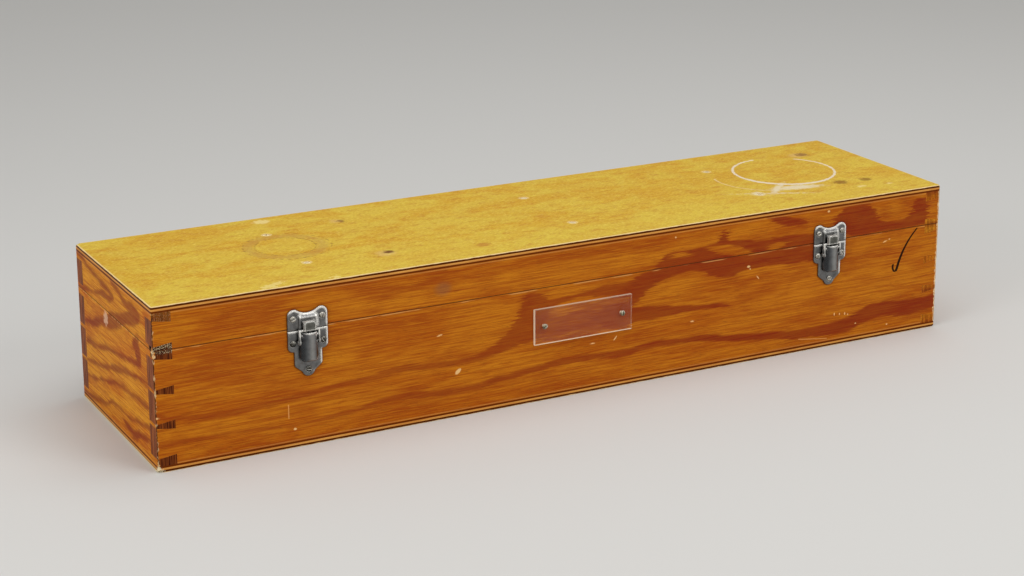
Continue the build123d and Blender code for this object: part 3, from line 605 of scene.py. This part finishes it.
class Plywood(Finish):
    """Yellow varnished plywood, with its plies showing along the edges."""

    def __init__(self, name, outer):
        super().__init__(name, roughness=0.4, specular=0.03)
        self.face_flat()
        self.outer_face = (self.facing_z * outer).rise(0.3, 0.7)
        self.outwards = (case_height - self.z).least(self.z)
        self.to_arris = self.outwards.most(self.to_end.least(self.to_side))
        self.fine = self.noise((26, 0.6, 8), 1.1, detail=4)
        self.broad = self.noise((70, 34, 60), 2.6, detail=3, warp=0.8)
        self.pores = self.noise((2.6, 1.1, 2), 3.3, detail=2)

    def varnished(self, sun, straw, rust):
        """The varnished outer face, with its clouds, flecks and pores."""
        flecks = self.noise((3.5, 1.1, 4), 7.1, detail=3)
        cloud = self.noise((15, 7, 30), 6.1, detail=5, warp=0.6)
        # Painted sheen: the face is lighter towards the front of the case.
        painted_front_sheen = (self.y * -0.012 + self.broad).rise(0.6, 1.7)
        face = self.blend(self.broad.rise(0.36, 0.64) * 0.8, colour(sun), straw)
        face = self.blend(painted_front_sheen * 0.6, face, straw)
        face = self.blend(cloud.rise(0.52, 0.68) * 0.42, face, rust)
        face = self.blend(cloud.rise(0.46, 0.34) * 0.5, face, "e2c848")
        face = self.blend(self.fine.rise(0.52, 0.64) * 0.42, face, rust)
        face = self.blend(self.fine.rise(0.45, 0.3) * 0.3, face, straw)
        face = self.blend(flecks.rise(0.54, 0.66) * 0.55, face, rust)
        face = self.blend(flecks.rise(0.45, 0.32) * 0.6, face, "ecd670")
        return self.blend(self.pores.rise(0.66, 0.76) * 0.6, face, "8a5a16")

    def bare(self):
        """The inner face, which was never varnished."""
        face = self.blend(self.broad.rise(0.36, 0.64), colour("c99f62"), "d8b47c")
        face = self.blend(self.fine.rise(0.5, 0.64) * 0.5, face, "a9773c")
        return self.blend(self.pores.rise(0.66, 0.76) * 0.4, face, "7e5426")

    def plies(self):
        """The sheet's edge: a light core between dark lines, and the light ply of the outer face."""
        depth = self.outwards + (self.noise((60, 60, 4), 4.8) - 0.5) * 0.35
        streaks = self.noise((30, 30, 0.6), 5.5, detail=3)
        edge = self.blend(streaks.rise(0.35, 0.65), colour("e0a250"), "c8823a")
        edge = self.blend(depth.rise(4.3, 4.9), edge, "6a2c04")
        edge = self.blend(depth.rise(2.9, 2.3), edge, "542202")
        return self.blend(depth.rise(0.7, 0.35), edge, "d29a48")

    def worn_left_end(self, sheet, amount):
        """The pale lower arris of the left end, and the crumbs about its broken front corner."""
        left = self.x.rise(2 - half_length, 1 - half_length)
        sheet = self.blend(self.outwards.rise(2.4, 1.6) * left * amount, sheet, "f2dcae")
        crumbs = self.noise((2.2, 2.2, 1.4), 6.9, detail=4)
        corner = (self.x + half_length).most(self.y + half_depth)
        corner = (corner - crumbs * 11 + self.outwards * 0.8).rise(2.5, -0.5)
        sheet = self.blend(corner * amount, sheet, "f0e2bc")
        return self.blend(corner * crumbs.rise(0.42, 0.36) * amount, sheet, "2a1408")

    def varnish(self, sun, straw, rust, marks=(), worn_left=0.0):
        """Colour, gloss and relief of the sheet, from its faces, its plies, and its scuffed arrises with a
        painted highlight along them.
        """
        face = self.varnished(sun, straw, rust)
        for amount, shade in marks:
            face = self.blend(amount, face, shade)
        face = self.blend(self.outer_face, self.bare(), face)
        sheet = self.blend(abs(self.facing_z).rise(0.45, 0.7), self.plies(), face)
        rubbed = self.noise((9, 9, 3), 8.8, detail=4)
        # A pale band along every arris of the outer face, partly worn varnish and partly a painted
        # highlight.
        sheet = self.blend(self.to_arris.rise(1.6, 0.5) * self.outer_face * 0.55, sheet, "f8e6b8")
        sheet = self.blend((self.to_arris - rubbed * 1.5).rise(0.1, -0.4) * 0.8, sheet, "f3d296")
        if worn_left:
            sheet = self.worn_left_end(sheet, worn_left)
        self.paint("Base Color", sheet)
        self.paint("Roughness", self.broad * 0.2 + 0.32)
        self.relief(self.fine * 0.6 - self.pores.rise(0.62, 0.75) * 0.6, 0.08, arris=0.5)


top = Plywood("yellow_plywood_top", 1)
top_noise = top.noise((4, 4, 4), 4.1, detail=4) - 0.5


def top_spots(*spots):
    """How far inside the nearest of several ovals on the lid a point lies, in millimetres."""
    return most_of(top.oval(top.x - spot[0], top.y - spot[1], *spot[2:]) for spot in spots)


def top_ring(x, y, radius, half):
    """How far inside a ring drawn on the lid a point lies, in millimetres."""
    across_x, across_y = top.x - x, top.y - y
    return half - abs((across_x * across_x + across_y * across_y).root() - radius)


ring_x, ring_y = 339.0, 16.0
beside_ring, behind_ring = top.x - ring_x, top.y - ring_y
ring_gap = (behind_ring - 40.5).least(beside_ring + 3)
heavy = (beside_ring * -0.5 - behind_ring * 0.86).rise(20, 58)
white_ring = (top_ring(ring_x, ring_y, 57.8, 1.5) + heavy * 1.5).least(-ring_gap)
second_arc = top_ring(ring_x - 30, ring_y - 10, 61, 0.8).least(294 - top.x).least(24 - top.y)
smear = most_of((
    top_spots((290, -44, 19, 7, 0.85), (312, -50, 30, 9, -0.2)),
    top_spots((259, -53, 5, 5)) + 3, top_spots((277, -60, 18, 1.6, -0.45)) + 1))
dark_knot = top_spots((-189, -60, 7, 6))
knots = top_spots((-187, 66, 5, 6), (400, 68, 9, 8), (367, -55, 10, 8), (399, -58, 8, 7))
halos = top_spots((-193, -63, 13, 11), (-191, 68, 9, 8), (395, 68, 14, 11))
brown_ring = top_ring(-273, 6.6, 38, 7)
brown_line = top_ring(-273, 6.6, 31, 0.9).most(top_ring(-271, 6.6, 45, 0.6))
brown_stain = top_spots((-94, -82, 9, 7))
screw_places = [(x, y) for x in (-275, 25, 260) for y in (-54.5, 54.5)]
worn_rims = top_spots(*((x, y, 6, 6) for x, y in screw_places))
pale = top_spots((-262, 102, 10, 8), (378, -80, 6, 4), (412, -84, 4, 3))
scuffs = top_spots((-333, -109, 14, 7, 0.4), (-268, -113, 6, 5), (-300, -116, 5, 2))
top.varnish(
    "d4a428", "dcc046", "be7c22",
    marks=(
        ((brown_ring + top_noise * 16).rise(-2, 5) * 0.35, "b4844a"),
        ((brown_line + top_noise * 7).rise(-0.5, 1.5) * 0.5, "94601e"),
        ((brown_stain + top_noise * 8).rise(-1, 3) * 0.6, "b8742c"),
        ((second_arc + top_noise * 3).rise(-0.9, 0.5) * 0.5, "ead8ae"),
        ((pale + top_noise * 9).rise(-1, 3) * 0.65, "f2de98"),
        ((scuffs + top_noise * 22).rise(0, 3) * 0.6, "f0dc8c"),
        ((worn_rims + top_noise * 6).rise(-0.5, 1.5) * 0.6, "f2dc9c"),
        ((smear + top_noise * 11).rise(-2.5, 5) * 0.72, "eadfc4"),
        ((white_ring + top_noise * 3.5).rise(-0.6, 0.8) * 0.8, "ece0cc"),
        ((halos + top_noise * 10).rise(-1, 6) * 0.35, "e4c08a"),
        ((knots + top_noise * 12).rise(-2, 5) * 0.7, "7a4a14"),
        ((dark_knot + top_noise * 9).rise(-1.5, 4.5) * 0.9, "64300a")))
dress("lid_top_panel", top)
break_off("lid_top_panel", (corner_x, -corner_y, case_height), (4, 4, 2), 5)
break_off("lid_top_panel", (-corner_x, corner_y, case_height), (3, 3, 1.6), 6)

underside = Plywood("yellow_plywood_underside", -1)
grime_and_painted_shade = underside.noise((50, 40, 10), 7.2, detail=5, warp=1.0)
underside.varnish(
    "b78f3e", "c09a4a", "9d6f2c", marks=((grime_and_painted_shade.rise(0.45, 0.7) * 0.4, "6e5230"),), worn_left=0.85)
dress("bottom_panel", underside)
break_off("bottom_panel", (corner_x, corner_y, 0), (5.5, 4, 3.4), 7)
break_off("bottom_panel", (corner_x + 9, corner_y, 0), (3, 1.4, 1.6), 8)
break_off("bottom_panel", (-corner_x, corner_y, 0), (2.6, 2.6, 2.2), 9)


# Hinges
# Two pressed steel butt hinges, let into the edges of the back boards, three screws to a leaf.
# Dull with age, with a little rust in patches, dirt and painted shade in the corners, and painted
# highlights on the upper rims.

class Metal(Finish):
    """Old metal that is dull on its flats, bright where it rubs, dirty and shaded in its crevices, with
    painted highlights on the rims that face up and right and painted shade on those that face down and
    left.
    """

    def __init__(self, name, dull, bright, dirt, roughness, dirty=0.5, metallic=1.0, rim=2.2, handled=0.1):
        super().__init__(name, roughness)
        rounded = self.node("ShaderNodeBevel", samples=8)
        rounded.inputs["Radius"].default_value = rim * MM
        edge_x, edge_y, edge_z = self.own_parts(rounded.outputs[0])
        likeness = edge_x * self.facing_x + edge_y * self.facing_y + edge_z * self.facing_z
        edge = likeness.rise(0.995, 0.95)
        # Rims that lean up and to the right, towards the lamps, get a painted highlight, and rims that lean
        # down and left get painted shade.
        toward_light = edge_x * 0.45 + edge_z * 0.89
        # Dirt and painted shade in the crevices, from how little of the open a point sees within 3 mm.
        crevice_dirt_and_shade = self.crevices(3, samples=6).rise(0.85, 0.35)
        rub_and_highlight = edge * (toward_light.rise(-0.08, 0.2) * (1 - handled) + handled) * (1 - crevice_dirt_and_shade * 0.7)
        grimy_and_shaded_edge = edge * toward_light.rise(-0.1, -0.35) * (1 - handled)
        mottle = self.noise((5, 5, 5), 1.9, detail=4)
        specks = self.noise((0.8, 0.8, 0.8), 5.7, detail=3)
        plate = self.blend(mottle.rise(0.6, 0.35) * dirty, colour(dull), dirt)
        plate = self.blend(specks.rise(0.6, 0.72) * dirty, plate, dirt)
        plate = self.blend((crevice_dirt_and_shade * 0.85).most(grimy_and_shaded_edge * 0.6), plate, "1c1917")
        self.plate = self.blend(rub_and_highlight, plate, bright)
        self.paint("Base Color", self.plate)
        self.paint("Metallic", (1 - rub_and_highlight * 0.85) * metallic)
        self.paint("Roughness", mottle * 0.25 + (roughness - 0.1) - rub_and_highlight * 0.12)
        self.relief(mottle * 0.7 + specks * 0.3, 0.02, arris=0.8)


hinge_steel = Metal("dull_hinge_steel", "8d8a84", "c9c6bf", "5b4a3a", 0.42)
hinge_screw_steel = Metal("hinge_screw_steel", "9a968e", "d2cfc6", "4a3f34", 0.36)
for side in ("left_hinge_", "right_hinge_"):
    for part in ("lower_leaf", "upper_leaf", "pin"):
        dress(side + part, hinge_steel, arris=0.15)
    for part in ("lower_screws", "upper_screws"):
        dress(side + part, hinge_screw_steel)


# Cradles and hold-down blocks
# Plain softwood blocks, bandsawn to the round of the instrument and screwed through the panels.
# They are left bare, a little yellowed and scuffed.

def bare_wood(name, shift):
    """Planed wood with no finish, its grain running from the front of the case to the back."""
    wood = Finish(name, roughness=0.65, specular=0.25)
    lines = wood.noise((1.3, 60, 1.3), shift, detail=3)
    broad = wood.noise((8, 90, 12), shift + 1, detail=3, warp=0.6)
    shade = wood.blend(broad.rise(0.35, 0.65), colour("cfa263"), "dcb57c")
    shade = wood.blend(lines.rise(0.48, 0.7) * 0.6, shade, "a5703a")
    wood.paint("Base Color", shade)
    wood.relief(lines, 0.15, arris=0.6)
    return wood


stations = ("left", "middle", "right")
for number, side in enumerate(stations):
    block = bare_wood("bare_block_" + side, 2.0 + 3.7 * number)
    dress(side + "_cradle", block)
    dress(side + "_hold_down", block)

panel_screw_steel = Metal("panel_screw_steel", "f2d898", "fff0c4", "8a6c40", 0.5, metallic=0.15)
for name in ("cradle_screws", "lid_screws"):
    dress(name, panel_screw_steel)


# Felt linings
# Strips of green wool felt glued into the notches, so that the instrument lies on no bare wood.

felt = Finish("green_wool_felt", roughness=0.95, specular=0.1)
felt.paint("Sheen Weight", 0.35)
felt.paint("Sheen Roughness", 0.6)
fibres = felt.noise((0.5, 0.5, 0.5), 3.0, detail=4, warp=1.5)
tufts = felt.noise((4, 4, 4), 1.0, detail=3)
pile = felt.blend(tufts.rise(0.35, 0.65), colour("2a3a2a"), "394a36")
pile = felt.blend(fibres.rise(0.45, 0.7) * 0.6, pile, "56664e")
felt.paint("Base Color", pile)
felt.relief(fibres * 0.7 + tufts * 0.3, 0.6)


felt_half_thick = 1.2
round_steps = 48
upright_steps = 8
# The height of the centre of the round that the felt lies on, and the radius to the felt's middle.
round_height = 82.0
round_radius = 50.45


def felt_strip(node, path):
    """A strip of felt that follows a path of (y, z) points in millimetres, in place of its solid."""
    low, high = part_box(node)
    half_width = (high.x - low.x) / 2 / MM - 0.3
    middle = (high.x + low.x) / 2 / MM
    inset = ((0, 0.6), (0.5, 1.0), (2, 1.0), (half_width, 1.0))
    section = [(inwards - half_width, thick) for inwards, thick in inset]
    section += [(half_width - inwards, thick) for inwards, thick in reversed(inset[:3])]
    profile = [(x, -thick) for x, thick in section] + [(x, thick) for x, thick in reversed(section)]
    form = bmesh.new()
    rings = []
    for place, (y, z) in enumerate(path):
        before = path[max(place - 1, 0)]
        after = path[min(place + 1, len(path) - 1)]
        run = Vector((after[0] - before[0], after[1] - before[1])).normalized()
        ring = []
        for x, thick in profile:
            lump = noise.noise(Vector((x * 0.3, y * 0.15, z * 0.15))) * 0.12
            reach = thick * felt_half_thick + lump
            spot = Vector((middle + x, y - run.y * reach, z + run.x * reach)) * MM
            ring.append(form.verts.new(spot))
        rings.append(ring)
    for ring, following in zip(rings, rings[1:]):
        for place in range(len(profile)):
            beside = (place + 1) % len(profile)
            form.faces.new((ring[place], ring[beside], following[beside], following[place]))
    form.faces.new(reversed(rings[0]))
    form.faces.new(rings[-1])
    bmesh.ops.recalc_face_normals(form, faces=form.faces)
    mesh = bpy.data.meshes.new(node + "_strip")
    form.to_mesh(mesh)
    form.free()
    mesh.shade_smooth()
    piece = bpy.data.objects.new(node + "_strip", mesh)
    bpy.context.scene.collection.objects.link(piece)
    mesh.materials.append(felt.material)
    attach(piece, "lid" if "hold_down" in node else "base")
    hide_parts(node)


def round_path(start, end):
    """Points (y, z) on the felt's round, from one angle to another, measured from straight up."""
    turns = [start + (end - start) * step / round_steps for step in range(round_steps + 1)]
    return [(round_radius * math.sin(turn), round_height + round_radius * math.cos(turn)) for turn in turns]


for side in stations:
    top_of_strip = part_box(side + "_cradle_felt")[1].z / MM
    drop = (top_of_strip - round_height) / upright_steps
    upright = [top_of_strip - 0.2 - drop * step for step in range(upright_steps)]
    felt_strip(
        side + "_cradle_felt",
        [(-round_radius, z) for z in upright]
        + round_path(-math.pi / 2, -3 * math.pi / 2)
        + [(round_radius, z) for z in reversed(upright)])
    half_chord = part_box(side + "_hold_down_felt")[1].y / MM
    arc = math.asin(min(0.99, (half_chord - felt_half_thick) / round_radius))
    felt_strip(side + "_hold_down_felt", round_path(-arc, arc))


# Draw latches
# Pressed from nickel-plated steel sheet: a plate on the base, a half-round lever on its pin, and a
# forked claw that hooks over the catch plate on the lid. Dull grey, bright where hands rub the rims,
# with painted highlights on the upper rims and painted shade on the lower rims and the lever flanks.

nickel = Metal("old_nickel", "767676", "fffdf6", "35322e", 0.3, dirty=0.4, rim=4.0)
handled_nickel = Metal("handled_nickel", "6c6c66", "fffdf6", "35322e", 0.3, dirty=0.4, rim=3.0, handled=0.8)
arms = handled_nickel.z.rise(116, 112)
handled_nickel.paint("Base Color", handled_nickel.blend(arms * 0.75, handled_nickel.plate, "6a6866"))
latch_screw_steel = Metal("latch_screw_steel", "a8a498", "fffaf0", "3c3834", 0.26, dirty=0.3)
sheet_arris = 0.12
for side in ("left_", "right_"):
    for part in ("latch_base_plate", "latch_fulcrum_pin", "catch_plate"):
        dress(side + part, nickel, sheet_arris)
    for part in ("latch_claw", "latch_claw_rivets"):
        dress(side + part, handled_nickel, sheet_arris)
    dress(side + "catch_screws", latch_screw_steel)
# The left latch's base screws are a dark copy of the screw steel, as painted shade.
shaded_screw_steel = Metal("painted_shade_screw_steel", "3e3b36", "d8d4c8", "0e0c0a", 0.36, dirty=0.8)
dress("left_latch_base_screws", shaded_screw_steel)
dress("right_latch_base_screws", latch_screw_steel)

for side in ("left_latch_", "right_latch_"):
    lever = Metal("old_nickel_" + side + "lever", "727476", "fffdf6", "35322e", 0.3, dirty=0.35, rim=3.0)
    low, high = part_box(side + "lever")
    across = (lever.x - (low.x + high.x) / 2 / MM) / ((high.x - low.x) / 2 / MM)
    front_of_lever = lever.facing_y.rise(-0.2, -0.6)
    # Painted shade down the lever's left flank and a little on its right, and a painted highlight just
    # right of its middle, as light falls on the half-round front.
    painted_flank_shade = across.rise(-0.1, -0.75).most(across.rise(0.55, 0.85) * 0.35)
    plate = lever.blend(painted_flank_shade * front_of_lever * 0.8, lever.plate, "202326")
    painted_glint = (0.5 - abs(across - 0.15)).rise(0, 0.5)
    lever.paint("Base Color", lever.blend(painted_glint * front_of_lever * 0.36, plate, "c0bfba"))
    dress(side + "lever", lever, sheet_arris)


# Clear plate
# A blank plate of clear plastic with sawn edges, held on the front by two round-head screws.

clear = Finish("clear_plastic", roughness=0.12)
clear.face_flat()
haze = clear.noise((14, 14, 5), 2.0, detail=4)
# The sawn edges are pale and nearly opaque, like frosted plastic, and painted bright for the light that the
# plastic gathers at its edges.
sawn = abs(clear.facing_y).rise(0.8, 0.6)
clear.paint("Base Color", clear.blend(sawn, colour("dcc6be"), "fff2d2"))
low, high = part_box("name_plate")
# The right and top edges let more show through, as painted shade on the sides turned from the light.
shaded_right_edge = clear.x.rise(high.x / MM - 0.5, high.x / MM - 0.1) * 0.8
shaded_top_edge = clear.z.rise(high.z / MM - 0.5, high.z / MM - 0.1) * 0.4
face_haze = (haze * 0.02 + 0.012) * clear.facing_y.rise(-0.4, -0.6)
clear.paint("Alpha", face_haze.most(sawn * (0.98 - shaded_right_edge.most(shaded_top_edge))))
clear.relief(haze, 0.02)
dress("name_plate", clear)

# It stands a hair off the board, so that no two faces coincide.
gap_behind = 0.03
off_board = nodes["name_plate"].modifiers.new("clear_of_the_board", "DISPLACE")
off_board.direction = "Y"
off_board.mid_level = 0.0
off_board.strength = -gap_behind * MM

plate_screw_brass = Metal("plate_screw_brass", "8e8468", "fff8e2", "2c2214", 0.27, dirty=0.35)
dress("name_plate_screws", plate_screw_brass)


# Floor, lights and camera
# A pale seamless floor, soft boxes overhead, to the front right and to the left, and the view from the
# front left, a little above the case.

floor_mesh = bpy.data.meshes.new("floor")
floor_half = 30.0
corners = [(x * floor_half, y * floor_half, 0) for x, y in ((-1, -1), (1, -1), (1, 1), (-1, 1))]
floor_mesh.from_pydata(corners, [], [(0, 1, 2, 3)])
floor = bpy.data.objects.new("floor", floor_mesh)
bpy.context.scene.collection.objects.link(floor)
ground = bpy.data.materials.new("floor")
ground.use_nodes = True
ground_shader = ground.node_tree.nodes["Principled BSDF"]
ground_shader.inputs["Base Color"].default_value = colour("d6d5d2")
ground_shader.inputs["Roughness"].default_value = 0.9
floor_mesh.materials.append(ground)

world = bpy.data.worlds.new("studio")
bpy.context.scene.world = world
world.use_nodes = True
backdrop = world.node_tree.nodes["Background"]
backdrop.inputs["Color"].default_value = colour("f4f3f1")
backdrop.inputs["Strength"].default_value = 0.5


def softbox(name, place, aim, size, power):
    lamp = bpy.data.lights.new(name, "AREA")
    lamp.shape = "RECTANGLE"
    lamp.size, lamp.size_y = size
    lamp.energy = power
    piece = bpy.data.objects.new(name, lamp)
    piece.location = place
    piece.rotation_euler = (Vector(aim) - Vector(place)).to_track_quat("-Z", "Y").to_euler()
    bpy.context.scene.collection.objects.link(piece)


softbox("overhead", (0.2, -0.3, 2.4), (0, 0, 0.1), (2.4, 1.6), 22)
softbox("front_right", (1.2, -2.4, 1.7), (0, 0, 0.08), (1.4, 1.2), 22)
softbox("left", (-2.6, -0.9, 1.2), (-0.3, 0, 0.08), (1.4, 1.2), 22)

camera = bpy.data.objects.new("camera", bpy.data.cameras.new("camera"))
camera_place = (-1.0611, -1.9982, 0.8055)
azimuth = math.radians(27.569)
pitch = math.radians(15.094)
roll = math.radians(0.238)
level = math.cos(pitch)
forward = Vector((math.sin(azimuth) * level, math.cos(azimuth) * level, -math.sin(pitch)))
right = Vector((math.cos(azimuth), -math.sin(azimuth), 0))
down = forward.cross(right)
turned_right = right * math.cos(roll) + down * math.sin(roll)
turned_down = down * math.cos(roll) - right * math.sin(roll)
turn = Matrix((turned_right, -turned_down, -forward)).transposed().to_4x4()
camera.matrix_world = Matrix.Translation(camera_place) @ turn
camera.data.lens = 77.76
camera.data.shift_y = -0.10
camera.data.clip_end = 100
bpy.context.scene.collection.objects.link(camera)
bpy.context.scene.camera = camera
bpy.context.scene.view_settings.view_transform = "Standard"
